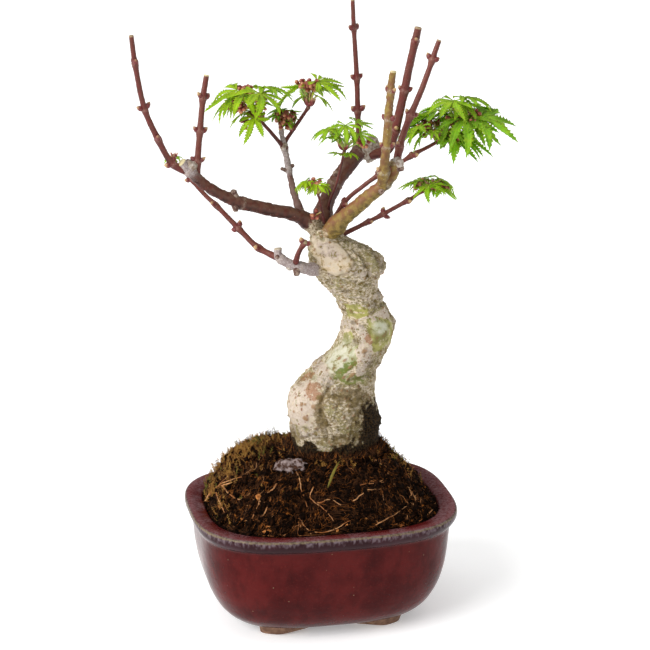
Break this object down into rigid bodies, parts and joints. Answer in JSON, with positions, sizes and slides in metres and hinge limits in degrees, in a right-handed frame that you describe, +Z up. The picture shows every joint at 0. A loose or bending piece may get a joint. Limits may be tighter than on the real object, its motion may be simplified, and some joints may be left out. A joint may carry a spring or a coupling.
{
  "type": "potted japanese maple bonsai",
  "caption": "Small maple trained as a bonsai: a thick twisting pale trunk, pruned red-brown shoots, tufts of young green leaves and dark soil in a glazed dark red pot.",
  "frame": {"origin": "on the floor, under the middle of the whole plant's box", "axes": "+Z is up, +X is to the right of the side the plant is seen from, +Y is away from there, across its narrowest extent"},
  "size_m": [0.1948, 0.1256, 0.3241],
  "materials": {
    "oxblood_glaze": "deep glossy oxblood red glaze, mottled purple-grey under the lip",
    "moist_peat": "dark crumbly moist peat with fine roots and a little moss",
    "pale_bark": "rough cream and grey bark with brown bumps and olive green patches",
    "brown_bark": "satin brown-red bark",
    "grey_bark": "matt grey-brown bark",
    "olive_bark": "satin olive-brown bark with pale specks",
    "red_bark": "satin purple-red young bark, cut ends pale cream",
    "young_leaf": "soft bright green young leaves with dark red buds"
  },
  "bodies": {
    "root": {"pot": "oxblood_glaze", "soil": "moist_peat", "trunk": "pale_bark", "left_bough": "brown_bark", "left_long_shoot": "red_bark", "left_upright_shoot": "red_bark", "lower_left_bough": "grey_bark", "lower_left_shoot": "red_bark", "front_twig": "red_bark", "inner_left_bough": "grey_bark", "centre_bough": "brown_bark", "tall_shoot": "red_bark", "thick_red_shoot": "red_bark", "right_bough": "olive_bark", "right_upright_shoot": "olive_bark", "right_red_shoot": "red_bark", "long_thin_bough": "red_bark", "lower_right_bough": "red_bark", "upper_left_leaves": "young_leaf", "inner_left_leaves": "young_leaf", "centre_leaves": "young_leaf", "small_centre_leaves": "young_leaf", "right_leaves": "young_leaf", "lower_right_leaves": "young_leaf", "left_tip_leaves": "young_leaf"}
  },
  "joints": []
}
